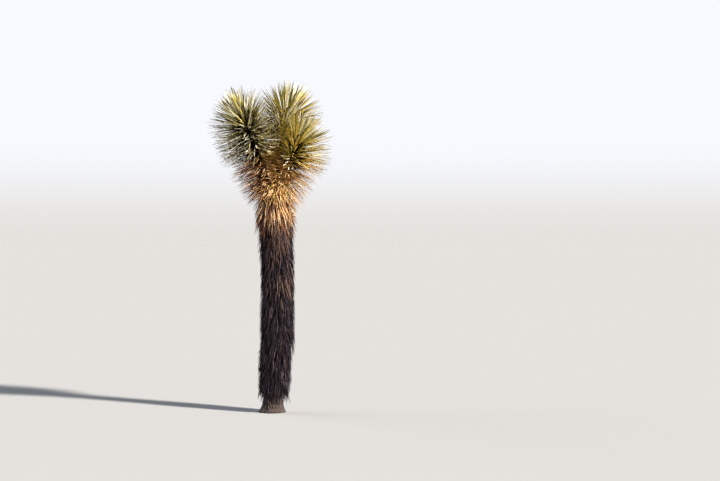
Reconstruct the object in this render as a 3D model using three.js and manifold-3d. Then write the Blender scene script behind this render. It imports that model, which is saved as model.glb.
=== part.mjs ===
// A young tree yucca that has forked for the first time: one bowed trunk in a coat of dead hanging leaves,
// three short boughs, and a ball of stiff dagger leaves round the end of each bough.
// Millimetres, +Z up. The origin is the middle of the flat cut at ground level.
import * as THREE from "three";
import { mergeVertices } from "three/addons/utils/BufferGeometryUtils.js";
import Module from "manifold-3d";

const wasm = await Module();
wasm.setup();
const { Manifold } = wasm;

// Trunk
const FORK_HEIGHT = 1900; // ground to the point where the boughs part
const BOW_HEIGHT = 2000; // the trunk bows along one half wave of this height
const BOW_SIDE = 52; // how far the half wave carries it to the right
const BOW_DEPTH = -16; // and towards the front
const FOOT_RADIUS = 80; // bare wood just above the root flare
const NECK_RADIUS = 66; // bare wood at the fork
const FLARE = 38; // what the root flare adds at ground level
const FLARE_FADE = 60; // the height over which the flare dies away
const CROWN_OF_TRUNK = 18; // the trunk's rounded top stands this far above the fork
const TRUNK_STEPS = 10;
const TRUNK_SIDES = 12;
const CROWN_RINGS = 6;

// Boughs: heading in degrees from +X, reach and rise from the fork to the growing tip, and where the curve
// bends. The trunk's own forks are the first stretch of each, its stub. The last stretch is green, and its
// leaf bases crowd into a dense core round the stem. Neck is the share of their length that its dead leaves
// have at the fork.
const BOUGHS = [
  {
    name: "left",
    heading: 211, reach: 292, rise: 616, bendOut: 0.4, bendUp: 0.5,
    stub: 200, green: 330, dense: 88, leaves: 192, neck: 0.74,
  },
  {
    name: "upper_right",
    heading: 38, reach: 162, rise: 684, bendOut: 0.12, bendUp: 0.55,
    stub: 200, green: 380, dense: 88, leaves: 204, neck: 1,
  },
  {
    name: "right",
    heading: -5, reach: 206, rise: 452, bendOut: 0.68, bendUp: 0.33,
    stub: 130, green: 255, dense: 72, leaves: 156, neck: 1,
  },
];
const BOUGH_RADIUS = 37; // where it leaves the trunk
const TIP_RADIUS = 31; // just under the growing tip
const TIP_ROUNDING = 40; // length of the rounded growing tip
const BUD = 40; // the dense core goes on past the growing tip
const CORE_RINGS = 8;
const BOUGH_SIDES = 8;
const BOUGH_STEP = 100; // spacing of the rings along a bough

// Leaf coats: a sleeve round the wood that the leaf roots are sunk in
const CLEAR = 0.3; // between one piece and the next
const BAND_GAP = 1; // between one sleeve and the next along the stem
const SLEEVE_WALL = 18; // on the trunk
const FOOT_WALL = 8; // and at the trunk's foot, where the coat is worn thin
const WORN_HEIGHT = 700; // the coat is whole from this height up
const COLLAR_WALL = 14; // on the boughs, where they turn green
const NECK_WALL = 34; // on the boughs at the fork
const SKIRT_FOOT = 1500; // the straw skirt's sleeve runs from here up to the fork
const SKIRT_TOP = 1894;
const SKIRT_LEAVES = 78;
const THATCH_FOOT = 215; // the grey thatch's sleeve starts here, above the bare foot
const THATCH_BANDS = ["thatch_high", "thatch_middle", "thatch_low"];
const THATCH_LEAVES = 54; // in each band
const LOWEST_TIP = 45; // no thatch leaf reaches nearer to the ground
const COLLAR_LEAF_SPACING = 7.4; // of bough for each leaf of the collar
const NECK_SPAN = 260; // above the fork, where its dead leaves reach their whole length
const END_MARGIN = 26; // no hanging leaf is rooted nearer than this to a sleeve's upper end

// Leaves: how they stand, by their distance below the growing tip and above the fork
const SPREAD_ANGLE = 88; // degrees from the stem's upward direction, once a leaf has opened
const OPENING = 55; // it opens over this distance below the growing tip
const FOLD_PLACE = 30; // above the fork, where dead leaves are half folded down
const FOLD_WIDTH = 68;
const HANGING_ANGLE = 172; // once folded down
const COAT_BULGE = 6; // halfway up the trunk they stand off it by so many degrees more
const CROWDING = 1.25; // leaves are closer together towards the growing tip
const HIGHEST_ROOT = 4; // the youngest leaf is rooted this far below the growing tip
const OLD_AGE = 3800; // leaves of the trunk are older than any that still open
const GOLDEN_ANGLE = Math.PI * (3 - Math.sqrt(5));
const TRIES = 5; // a leaf that meets something is tried again, a little turned and shorter
const SHORTENING = 0.15; // by this share of its length each time
const SHARED_SPACE = 25; // two heads reach past the middle between their stems by up to half of this
const SINK = 20; // a leaf's root is sunk this deep along the leaf
const DEEPEST_ROOT = 0.62; // but no deeper than this share of its sleeve's wall
const LENGTH_SPREAD = 0.06;
const LEAF_KINDS = {
  green: { length: 304, youngest: 0.92, width: 36, thickness: 10, jitter: 7, swing: 5 },
  straw: { length: 258, youngest: 1, width: 34, thickness: 9, jitter: 9, swing: 8 },
  thatch: { length: 232, youngest: 1, width: 44, thickness: 9, jitter: 2.5, swing: 7 },
};
const FOOT_LENGTH = 0.72; // thatch leaves at the foot have this share of their length
const SEED = 20417;

const COLOURS = { bark: "#6b5546", green: "#7d7736", collar: "#8f6f47", straw: "#b98d5f", thatch: "#4a3d3b" };

const UP = new THREE.Vector3(0, 0, 1);
const DEPTH_AXIS = new THREE.Vector3(0, 1, 0);
const SAME_POINT = 1e-3; // corners nearer than this are one
const radians = THREE.MathUtils.degToRad;
const mix = THREE.MathUtils.lerp;
const cap = (share) => THREE.MathUtils.clamp(share, 0, 1);

// The middle of the trunk: one half wave.
class TrunkLine extends THREE.Curve {
  getPoint(share, point = new THREE.Vector3()) {
    const height = share * FORK_HEIGHT;
    const bow = Math.sin((Math.PI * height) / BOW_HEIGHT);
    return point.set(BOW_SIDE * bow, BOW_DEPTH * bow, height);
  }
}

const trunkLine = new TrunkLine();
const fork = trunkLine.getPoint(1);

function trunkRadius(height) {
  return mix(FOOT_RADIUS, NECK_RADIUS, height / FORK_HEIGHT) + FLARE * Math.exp(-height / FLARE_FADE);
}

function sleeveWall(height) {
  return mix(FOOT_WALL, SLEEVE_WALL, cap(height / WORN_HEIGHT));
}

function sleeveRadius(height) {
  return trunkRadius(height) + sleeveWall(height);
}

function boughLine({ heading, reach, rise, bendOut, bendUp }) {
  const out = new THREE.Vector3(Math.cos(radians(heading)), Math.sin(radians(heading)), 0);
  const bend = fork.clone().addScaledVector(out, reach * bendOut).addScaledVector(UP, rise * bendUp);
  const tip = fork.clone().addScaledVector(out, reach).addScaledVector(UP, rise);
  return new THREE.QuadraticBezierCurve3(fork.clone(), bend, tip);
}

// A bough's radius at a distance along it, with the growing tip rounded off.
function boughRadius(along, length) {
  const taper = mix(BOUGH_RADIUS, TIP_RADIUS, along / length);
  const intoTip = cap((along - (length - TIP_ROUNDING)) / TIP_ROUNDING);
  return taper * Math.sqrt(1 - intoTip * intoTip);
}

// The directions at a place on a curve: along it, to its side and to its front. Past its end the curve goes
// on straight.
function frameOf(curve, place) {
  const length = curve.getLength();
  const share = Math.min(1, place / length);
  const along = curve.getTangentAt(share);
  const side = new THREE.Vector3().crossVectors(DEPTH_AXIS, along).normalize();
  const front = new THREE.Vector3().crossVectors(along, side);
  const point = curve.getPointAt(share).addScaledVector(along, Math.max(0, place - length));
  return { point, along, side, front };
}

// A closed three.js geometry as a manifold-3d solid that faces outwards.
function solidOf(geometry) {
  geometry.deleteAttribute("normal");
  geometry.deleteAttribute("uv");
  const merged = mergeVertices(geometry, SAME_POINT);
  const triVerts = new Uint32Array(merged.index.array);
  const vertProperties = merged.attributes.position.array;
  const made = new Manifold(new wasm.Mesh({ numProp: 3, vertProperties, triVerts }));
  if (made.volume() > 0) return made;
  triVerts.reverse();
  return new Manifold(new wasm.Mesh({ numProp: 3, vertProperties, triVerts }));
}

function geometryOf(solid) {
  const mesh = solid.getMesh();
  const geometry = new THREE.BufferGeometry();
  geometry.setAttribute("position", new THREE.BufferAttribute(new Float32Array(mesh.vertProperties), 3));
  geometry.setIndex(new THREE.BufferAttribute(new Uint32Array(mesh.triVerts), 1));
  geometry.computeVertexNormals();
  return geometry;
}

// The lengths along a stem from one place to another, no more than a step apart.
function ringPlaces(from, to, step) {
  const count = Math.max(1, Math.ceil((to - from) / step));
  return Array.from({ length: count + 1 }, (_, i) => mix(from, to, i / count));
}

// A lathe whose axis is laid along a curve: places are lengths along it, and radiusAt gives their radius.
function limb(curve, places, radiusAt) {
  const outline = places.filter((place) => radiusAt(place) > 0);
  const profile = outline.map((place) => new THREE.Vector2(radiusAt(place), place));
  profile.unshift(new THREE.Vector2(0, places[0]));
  profile.push(new THREE.Vector2(0, places.at(-1)));
  const geometry = new THREE.LatheGeometry(profile, BOUGH_SIDES);
  const positions = geometry.attributes.position;
  for (let i = 0; i < positions.count; i++) {
    const { point, side, front } = frameOf(curve, positions.getY(i));
    point.addScaledVector(front, positions.getX(i)).addScaledVector(side, positions.getZ(i));
    positions.setXYZ(i, point.x, point.y, point.z);
  }
  return solidOf(geometry);
}

// A stretch of the trunk, or of a sleeve round it. Its sections are level, so that the foot is a flat cut.
function trunkColumn(from, to, radiusAt) {
  const steps = ringPlaces(0, FORK_HEIGHT, FORK_HEIGHT / TRUNK_STEPS);
  const inside = [FLARE_FADE / 2, FLARE_FADE, 2 * FLARE_FADE, ...steps].filter((z) => z > from && z < to);
  const heights = [from, ...inside.sort((a, b) => a - b), to];
  const profile = heights.map((height) => new THREE.Vector2(radiusAt(height), height));
  profile.unshift(new THREE.Vector2(0, from));
  profile.push(new THREE.Vector2(0, to));
  const geometry = new THREE.LatheGeometry(profile, TRUNK_SIDES);
  geometry.rotateX(Math.PI / 2);
  const positions = geometry.attributes.position;
  for (let i = 0; i < positions.count; i++) {
    const centre = trunkLine.getPoint(Math.min(1, positions.getZ(i) / FORK_HEIGHT));
    positions.setXYZ(i, positions.getX(i) + centre.x, positions.getY(i) + centre.y, positions.getZ(i));
  }
  return solidOf(geometry);
}

// The trunk with its rounded top and the start of each bough. Extra is added to its radius.
function trunkSolid(lines, placesOf, extra) {
  const column = trunkColumn(0, FORK_HEIGHT, (height) => trunkRadius(height) + extra);
  const top = new THREE.SphereGeometry(1, TRUNK_SIDES, CROWN_RINGS);
  top.rotateX(Math.PI / 2);
  top.scale(NECK_RADIUS + extra, NECK_RADIUS + extra, CROWN_OF_TRUNK + extra);
  top.translate(fork.x, fork.y, fork.z);
  const stubs = lines.map((line, i) => {
    const radiusAt = (along) => boughRadius(along, line.getLength()) + extra;
    return limb(line, placesOf[i], radiusAt);
  });
  return Manifold.union([column, solidOf(top), ...stubs]);
}

// A seeded chance from 0 to 1, by a linear congruence
const STEP_FACTOR = 1664525;
const STEP_ADDED = 1013904223;
const STEP_RANGE = 2 ** 32;
let chanceState = SEED;
function chance() {
  chanceState = (Math.imul(chanceState, STEP_FACTOR) + STEP_ADDED) >>> 0;
  return chanceState / STEP_RANGE;
}
function spread(amount) {
  return amount * (2 * chance() - 1);
}

// A leaf's angle from the stem's upward direction. It opens below the growing tip and folds down at the fork.
function leafAngle(age, aboveFork) {
  const opened = SPREAD_ANGLE * (1 - Math.exp(-age / OPENING));
  const folded = 1 / (1 + Math.exp((aboveFork - FOLD_PLACE) / FOLD_WIDTH));
  const upTrunk = cap((aboveFork + FORK_HEIGHT) / FORK_HEIGHT);
  const hanging = HANGING_ANGLE - COAT_BULGE * Math.sin(Math.PI * upTrunk) ** 2;
  return mix(opened, hanging, folded);
}

function leafLength(kind, age, aboveFork) {
  const young = mix(kind.youngest, 1, cap(age / OPENING));
  return kind.length * young * mix(FOOT_LENGTH, 1, cap((aboveFork + FORK_HEIGHT) / WORN_HEIGHT));
}

// One leaf: a three-sided dagger, flat on its upper side and keeled underneath. A three-sided cone of radius
// 1 is as wide as the root of 3, as deep as 1.5, and stands from half below its middle to half above it.
const CONE_WIDTH = Math.sqrt(3);
const CONE_DEPTH = 1.5;
const CONE_HALF = 0.5;
function leafSolid(root, tip, across, keel, { width, thickness }) {
  const geometry = new THREE.ConeGeometry(1, 1, 3);
  geometry.scale(width / CONE_WIDTH, 1, thickness / CONE_DEPTH);
  const positions = geometry.attributes.position;
  for (let i = 0; i < positions.count; i++) {
    const point = root.clone().lerp(tip, positions.getY(i) + CONE_HALF);
    point.addScaledVector(across, positions.getX(i)).addScaledVector(keel, positions.getZ(i));
    positions.setXYZ(i, point.x, point.y, point.z);
  }
  return solidOf(geometry);
}

function boxesNear(a, b) {
  return [0, 1, 2].every((axis) => a.min[axis] < b.max[axis] + 1 && b.min[axis] < a.max[axis] + 1);
}

// Whether a leaf keeps clear of every other piece.
function isClear(leaf, others) {
  const box = leaf.boundingBox();
  return others.every((other) => !boxesNear(box, other.boundingBox()) || leaf.minGap(other, 1) > CLEAR);
}

// The leaves of one stem: a golden-angle spiral of roots, from its upper end to its lower end.
// A leaf that would touch another piece or leave its mass's own space is tried again, and then skipped.
function growLeaves(stem, others, inSpace) {
  const { curve, surfaceAt, wallAt, from, to, count, kind, tipAt, forkAt } = stem;
  const { crowding = 1, neck = 1 } = stem;
  const leaves = [];
  for (let i = 0; i < count; i++) {
    const along = mix(from, to, ((i + 0.5) / count) ** crowding);
    const frame = frameOf(curve, along);
    const age = tipAt - along;
    for (let attempt = 0; attempt < TRIES; attempt++) {
      const round = i * GOLDEN_ANGLE + radians(spread(kind.swing * (1 + attempt)));
      const outward = frame.side.clone().multiplyScalar(Math.cos(round));
      outward.addScaledVector(frame.front, Math.sin(round));
      const angle = radians(leafAngle(age, along - forkAt) + spread(kind.jitter * (1 + attempt / 2)));
      const direction = frame.along.clone().multiplyScalar(Math.cos(angle));
      direction.addScaledVector(outward, Math.sin(angle));
      const across = new THREE.Vector3().crossVectors(frame.along, outward).normalize();
      const keel = new THREE.Vector3().crossVectors(across, direction);
      if (keel.dot(frame.along) > 0) keel.negate();
      const atNeck = mix(neck, 1, cap((along - forkAt) / NECK_SPAN));
      const whole = leafLength(kind, age, along - forkAt) * atNeck * (1 + spread(LENGTH_SPREAD));
      const sink = Math.min(SINK, (DEEPEST_ROOT * wallAt(along)) / Math.sin(angle));
      const surface = frame.point.clone().addScaledVector(outward, surfaceAt(along));
      const root = surface.clone().addScaledVector(direction, -sink);
      const tip = surface.clone().addScaledVector(direction, whole * (1 - SHORTENING * attempt));
      const leaf = leafSolid(root, tip, across, keel, kind);
      if (!inSpace(tip) || !isClear(leaf, others)) continue;
      leaves.push(leaf);
      break;
    }
  }
  return leaves;
}

// Fuses leaves to their core. A hollow that this seals is filled, and a loose scrap is dropped.
function fused(core, leaves) {
  const bodies = Manifold.union([core, ...leaves]).decompose();
  return bodies.sort((a, b) => b.volume() - a.volume())[0];
}

// The dense core of a head: an ellipse's arc turned round the bough, from the bough's own radius to a point.
function headCore(line, bough) {
  const start = line.getLength() - bough.green + CLEAR;
  const end = line.getLength() + BUD;
  const turnFrom = Math.asin(TIP_RADIUS / bough.dense);
  const halfLength = (end - start) / (1 + Math.cos(turnFrom));
  const middle = end - halfLength;
  const places = ringPlaces(turnFrom, Math.PI, Math.PI / CORE_RINGS)
    .map((turn) => middle - halfLength * Math.cos(turn));
  const offMiddle = (along) => cap(Math.abs(along - middle) / halfLength);
  return limb(line, places, (along) => bough.dense * Math.sqrt(1 - offMiddle(along) ** 2));
}

// Points along the green end of a bough.
function greenPoints(line, { green }) {
  const length = line.getLength();
  return ringPlaces(length - green, length, BOUGH_STEP).map((place) => line.getPointAt(place / length));
}

function nearest(points, tip) {
  return Math.min(...points.map((point) => point.distanceTo(tip)));
}

// The head of leaves round the green end of each bough. It keeps to the space nearest to its own stem.
function headMass(bough, line, ownPoints, allPoints) {
  const length = line.getLength();
  const start = length - bough.green;
  const radiusAt = (along) => boughRadius(along, length);
  const stem = {
    curve: line, surfaceAt: radiusAt, wallAt: () => TIP_RADIUS,
    from: length - HIGHEST_ROOT, to: start + SINK / 2, count: bough.leaves, kind: LEAF_KINDS.green,
    tipAt: length, forkAt: 0, crowding: CROWDING,
  };
  return {
    name: `head_${bough.name}`, colour: COLOURS.green,
    core: headCore(line, bough), stems: [stem],
    inSpace: (tip) => nearest(ownPoints, tip) < nearest(allPoints, tip) + SHARED_SPACE,
  };
}

// The collar: one sleeve with three arms, round the stubs and the boughs, up to where each turns green.
function collarMass(lines, room) {
  const sleeves = [];
  const stems = [];
  lines.forEach((line, i) => {
    const length = line.getLength();
    const end = length - BOUGHS[i].green - BAND_GAP;
    const wallAt = (along) => mix(NECK_WALL, COLLAR_WALL, along / end);
    const surfaceAt = (along) => boughRadius(along, length) + wallAt(along);
    sleeves.push(limb(line, ringPlaces(0, end, BOUGH_STEP), surfaceAt));
    const from = end - SINK;
    const to = END_MARGIN;
    stems.push({
      curve: line, surfaceAt, wallAt, from, to,
      count: Math.round((from - to) / COLLAR_LEAF_SPACING), kind: LEAF_KINDS.straw, tipAt: length, forkAt: 0,
      neck: BOUGHS[i].neck,
    });
  });
  const core = Manifold.union(sleeves).subtract(room);
  return { name: "collar", colour: COLOURS.collar, core, stems, inSpace: () => true };
}

// A band of dead leaves round the trunk.
function trunkMass(name, foot, top, count, kind, colour, woodRoom) {
  const heightAt = (along) => (along / trunkLine.getLength()) * FORK_HEIGHT;
  const stem = {
    curve: trunkLine,
    surfaceAt: (along) => sleeveRadius(heightAt(along)),
    wallAt: (along) => sleeveWall(heightAt(along)),
    from: top - END_MARGIN, to: foot + END_MARGIN / 2, count, kind,
    tipAt: OLD_AGE, forkAt: trunkLine.getLength(),
  };
  return {
    name, colour, stems: [stem],
    core: trunkColumn(foot, top, sleeveRadius).subtract(woodRoom),
    inSpace: (tip) => tip.z > LOWEST_TIP,
  };
}

function buildTree() {
  const lines = BOUGHS.map(boughLine);
  const stubPlaces = BOUGHS.map(({ stub }) => ringPlaces(0, stub, BOUGH_STEP));
  const boughPlaces = BOUGHS.map(({ stub, green }, i) =>
    ringPlaces(stub + CLEAR, lines[i].getLength() - green, BOUGH_STEP),
  );
  const wholePlaces = stubPlaces.map((places, i) => [...places, ...boughPlaces[i]]);
  const woods = [{ name: "trunk", solid: trunkSolid(lines, stubPlaces, 0), colour: COLOURS.bark }];
  lines.forEach((line, i) => {
    const solid = limb(line, boughPlaces[i], (along) => boughRadius(along, line.getLength()));
    woods.push({ name: `bough_${BOUGHS[i].name}`, solid, colour: COLOURS.bark });
  });
  const woodRoom = trunkSolid(lines, wholePlaces, CLEAR);

  const points = BOUGHS.map((bough, i) => greenPoints(lines[i], bough));
  const masses = BOUGHS.map((bough, i) => headMass(bough, lines[i], points[i], points.flat()));
  const roomRadius = (height) => sleeveRadius(height) + NECK_WALL;
  const skirtRoom = trunkColumn(SKIRT_FOOT, SKIRT_TOP + BAND_GAP, roomRadius);
  masses.push(collarMass(lines, woodRoom.add(skirtRoom)));
  const { straw, thatch } = LEAF_KINDS;
  masses.push(trunkMass("straw_skirt", SKIRT_FOOT, SKIRT_TOP, SKIRT_LEAVES, straw, COLOURS.straw, woodRoom));
  const bandHeight = (SKIRT_FOOT - THATCH_FOOT) / THATCH_BANDS.length;
  THATCH_BANDS.forEach((name, i) => {
    const top = SKIRT_FOOT - i * bandHeight - BAND_GAP;
    const foot = top - bandHeight + BAND_GAP;
    masses.push(trunkMass(name, foot, top, THATCH_LEAVES, thatch, COLOURS.thatch, woodRoom));
  });

  const pieces = [...woods];
  for (const mass of masses) {
    const otherMasses = masses.filter((other) => other !== mass).map((other) => other.solid ?? other.core);
    const others = [...woods.map((wood) => wood.solid), ...otherMasses];
    const leaves = mass.stems.flatMap((stem) => growLeaves(stem, others, mass.inSpace));
    mass.solid = fused(mass.core, leaves);
    pieces.push(mass);
  }
  return pieces;
}

const tree = new THREE.Group();
for (const { name, solid, colour } of buildTree()) {
  const material = new THREE.MeshStandardMaterial({ color: colour, roughness: 0.8, metalness: 0 });
  const mesh = new THREE.Mesh(geometryOf(solid), material);
  mesh.name = name;
  tree.add(mesh);
}

export default tree;
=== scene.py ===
"""A young tree yucca that has forked for the first time, with its finish.

The packed model is the frame. Round the same trunk and boughs this grows bark with its relief, and every
leaf of the three green heads, of the brown collar, of the straw skirt and of the grey thatch, by the rule
that the solids were grown by, only finer and at the leaves' real width.
"""

import math
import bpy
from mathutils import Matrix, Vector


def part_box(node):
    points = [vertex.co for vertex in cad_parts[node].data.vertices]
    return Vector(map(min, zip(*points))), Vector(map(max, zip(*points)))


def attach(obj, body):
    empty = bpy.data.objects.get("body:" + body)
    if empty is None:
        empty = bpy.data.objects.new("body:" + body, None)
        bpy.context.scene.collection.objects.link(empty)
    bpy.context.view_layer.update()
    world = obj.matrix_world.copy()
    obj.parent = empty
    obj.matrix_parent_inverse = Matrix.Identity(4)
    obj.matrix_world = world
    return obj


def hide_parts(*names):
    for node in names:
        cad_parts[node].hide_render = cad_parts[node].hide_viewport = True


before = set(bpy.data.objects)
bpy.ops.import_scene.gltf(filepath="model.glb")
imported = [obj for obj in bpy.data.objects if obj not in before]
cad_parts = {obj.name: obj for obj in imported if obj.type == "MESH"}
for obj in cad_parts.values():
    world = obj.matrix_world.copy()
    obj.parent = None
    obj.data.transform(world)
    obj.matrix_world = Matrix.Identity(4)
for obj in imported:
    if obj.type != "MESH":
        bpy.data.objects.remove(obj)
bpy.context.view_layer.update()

from types import SimpleNamespace

import bpy
import numpy as np
from bpy.props import FloatProperty, FloatVectorProperty, IntProperty, PointerProperty
from bpy.types import Operator, Panel, PropertyGroup

bl_info = {
    "name": "Young Tree Yucca",
    "version": (1, 0, 0),
    "blender": (4, 5, 0),
    "location": "3D View > Sidebar > Tree",
    "description": "Grows the bark, the leaves and the studio of a young tree yucca round its solid model",
    "category": "Object",
}

BODY = "root"
MM = 0.001
SEED = 20417
GOLDEN_ANGLE = math.pi * (3 - math.sqrt(5))
TRIES = 5  # a leaf that would leave its space is tried again, a little turned and shorter
SHORTENING = 0.15  # by this share of its length each time
OLD_AGE = 3.8  # leaves of the trunk are older than any that still open, in metres below a growing tip
LINE_POINTS = 240  # points that stand for the middle line of the trunk or of a bough
BLADE_MAP = "blade_map"
BLADE_MAP_SIZE = 0.1  # metres of a leaf's length for each 1 of the map
FLOOR_REACH = 1500  # metres from the tree to the floor's edges
BOUGH_NAMES = ("left", "upper_right", "right")
THATCH_NAMES = ("thatch_high", "thatch_middle", "thatch_low")
HEAD_LOOKS = {
    # How many of a head's leaves are whitish as painted highlight, yellow as painted sunlight,
    # deep green as painted shade, yellow with age, and pale with age where painted sunlight falls
    "left": (1.3, 0.8, 1.9, 0.35, 0),
    "upper_right": (1.0, 1.3, 0.4, 1, 0),
    "right": (0.3, 1.2, 0.5, 1, 1.4),
}
PAINTED_SHADE_TINTS = {
    # A head leaf's lower part is painted in shade: its darker tint, by the tint of the rest of it
    "green_cream": "green_deep", "green_cool": "green_deep", "green_olive": "green_deep",
    "green_yellow": "green_olive", "green_deep": "green_base", "green_old": "green_deep",
    "straw_gold": "straw_rust", "straw_pale": "straw_umber",
}
FINISHES = {
    # Smoothest and roughest place, relief, and how much a leaf shines
    "green": (0.3, 0.48, 0.25, 0.5),
    "straw": (0.45, 0.7, 0.35, 0.35),
    "thatch": (0.7, 0.9, 0.4, 0.15),
}


# Properties

def length_prop(name, description, millimetres):
    """A length, given in millimetres and kept in metres."""
    return FloatProperty(
        name=name, description=description, default=millimetres * MM, precision=4, unit="LENGTH"
    )


def angle_prop(name, description, degrees):
    """An angle, given in degrees and kept in radians."""
    return FloatProperty(name=name, description=description, default=math.radians(degrees), subtype="ANGLE")


def share_prop(name, description, share):
    """A plain share or factor."""
    return FloatProperty(name=name, description=description, default=share, precision=3, subtype="FACTOR")


def number_prop(name, description, number):
    """A plain number, such as a lamp's strength."""
    return FloatProperty(name=name, description=description, default=number)


def count_prop(name, description, count):
    """A number of leaves."""
    return IntProperty(name=name, description=description, default=count, min=1)


def light_prop(name, description, *linear):
    """The colour of a light, which is linear."""
    return FloatVectorProperty(
        name=name, description=description, default=linear, size=3, min=0, max=1, subtype="COLOR"
    )


def colour_prop(name, description, *on_screen):
    """A colour, given as it looks on screen from 0 to 255 and kept linear."""
    shown = np.array(on_screen) / 255
    linear = np.where(shown <= 0.04045, shown / 12.92, ((shown + 0.055) / 1.055) ** 2.4)
    return light_prop(name, description, *linear)


class TrunkSizes(PropertyGroup):
    """The wood of the trunk."""

    fork_height: length_prop("Fork height", "Ground to the point where the boughs part", 1900)
    bow_height: length_prop("Bow height", "The trunk bows along one half wave of this height", 2000)
    bow_side: length_prop("Bow to the side", "How far the half wave carries it to the right", 52)
    bow_depth: length_prop("Bow in depth", "How far the half wave carries it to the back", -16)
    foot_radius: length_prop("Foot radius", "Bare wood just above the root flare", 80)
    neck_radius: length_prop("Neck radius", "Bare wood at the fork", 66)
    flare: length_prop("Root flare", "What the root flare adds at ground level", 38)
    flare_fade: length_prop("Flare fade", "The height over which the flare dies away", 60)
    crown: length_prop("Crown", "The trunk's rounded top stands this far above the fork", 18)
    bough_radius: length_prop("Bough radius", "A bough where it leaves the trunk", 37)
    tip_radius: length_prop("Tip radius", "A bough just under its growing tip", 31)
    tip_rounding: length_prop("Tip rounding", "Length of the rounded growing tip", 40)


class BarkSizes(PropertyGroup):
    """The relief of the bark."""

    plate_width: length_prop("Plate width", "Width of one bark plate", 17)
    plate_height: length_prop("Plate height", "Height of one bark plate", 40)
    furrow_width: length_prop("Furrow width", "Width of the furrow between two plates", 6)
    furrow_depth: length_prop("Furrow depth", "Depth of the furrow between two plates", 7)
    lean: length_prop("Plate lean", "How unevenly the plates stand out", 3)
    raggedness: length_prop("Raggedness", "How far the edges of the plates stray", 2)
    crumbs: length_prop("Crumbs", "How rough the face of a plate is", 0.7)


class CoatSizes(PropertyGroup):
    """The coats of dead leaves round the wood."""

    sleeve_wall: length_prop("Sleeve wall", "Packed leaf bases round the trunk", 18)
    foot_wall: length_prop("Foot wall", "The same at the trunk's foot, where the coat is worn thin", 8)
    worn_height: length_prop("Worn height", "The coat is whole from this height up", 700)
    collar_wall: length_prop("Collar wall", "Packed leaf bases round a bough where it turns green", 14)
    neck_wall: length_prop("Neck wall", "Packed leaf bases round a bough at the fork", 34)
    skirt_foot: length_prop("Skirt foot", "Lowest straw leaf's root", 1500)
    skirt_top: length_prop("Skirt top", "Highest straw leaf's root", 1894)
    thatch_foot: length_prop("Thatch foot", "Lowest thatch leaf's root", 215)
    lowest_tip: length_prop("Lowest tip", "No thatch leaf reaches nearer to the ground", 45)
    end_margin: length_prop("End margin", "Between the roots of two neighbouring coats' leaves", 26)


class LeafHabit(PropertyGroup):
    """How leaves stand, by their distance below the growing tip and above the fork."""

    spread: angle_prop("Spread", "From the stem's upward direction, once a leaf has opened", 88)
    opening: length_prop("Opening", "A leaf opens over this distance below the growing tip", 55)
    fold_place: length_prop("Fold place", "Above the fork, where dead leaves are half folded down", 30)
    fold_width: length_prop("Fold width", "Over which leaves fold down", 68)
    hanging: angle_prop("Hanging", "A leaf's angle once folded down", 172)
    bulge: angle_prop("Coat bulge", "Halfway up the trunk leaves stand off it by so much more", 6)
    crowding: share_prop("Crowding", "Leaves are closer together towards the growing tip", 1.25)
    shared_space: length_prop("Shared space", "Two heads reach past the middle by up to half of this", 25)
    foot_length: share_prop("Foot length", "Share of their length that leaves at the foot have", 0.72)
    neck_span: length_prop("Neck span", "Above the fork, where dead leaves reach their whole length", 260)


class LeafCounts(PropertyGroup):
    """How many leaves each mass has."""

    head_left: count_prop("Left head", "Leaves of the left head", 900)
    head_upper_right: count_prop("Upper right head", "Leaves of the upper right head", 920)
    head_right: count_prop("Right head", "Leaves of the right head", 780)
    collar_left: count_prop("Left collar", "Leaves of the collar's left arm", 1000)
    collar_upper_right: count_prop("Upper right collar", "Leaves of the collar's upper right arm", 620)
    collar_right: count_prop("Right collar", "Leaves of the collar's right arm", 640)
    skirt: count_prop("Skirt", "Leaves of the straw skirt", 2100)
    thatch: count_prop("Thatch", "Leaves of each band of the thatch", 1500)


def size_group(class_name, note, fields):
    """A property group class that is made from its properties."""
    return type(class_name, (PropertyGroup,), {"__doc__": note, "__annotations__": fields})


def bough_group(class_name, note, heading, reach, rise, bend_out, bend_up, green, neck):
    """A property group class for one bough, with its own sizes as the defaults."""
    return size_group(class_name, note, {
        "heading": angle_prop("Heading", "Direction seen from above, from +X", heading),
        "reach": length_prop("Reach", "From the fork out to the growing tip", reach),
        "rise": length_prop("Rise", "From the fork up to the growing tip", rise),
        "bend_out": share_prop("Bend out", "Share of the reach at which the curve bends", bend_out),
        "bend_up": share_prop("Bend up", "Share of the rise at which the curve bends", bend_up),
        "green": length_prop("Green", "Last stretch, which bears green leaves", green),
        "neck": share_prop("Neck", "Share of their length that its dead leaves have at the fork", neck),
    })


LeftBough = bough_group("LeftBough", "The bough on the left.", 211, 292, 616, 0.4, 0.5, 330, 0.74)
UpperRightBough = bough_group(
    "UpperRightBough", "The bough that stands up on the right.", 38, 162, 684, 0.12, 0.55, 380, 1
)
RightBough = bough_group("RightBough", "The low bough on the right.", -5, 206, 452, 0.68, 0.33, 255, 1)


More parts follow.
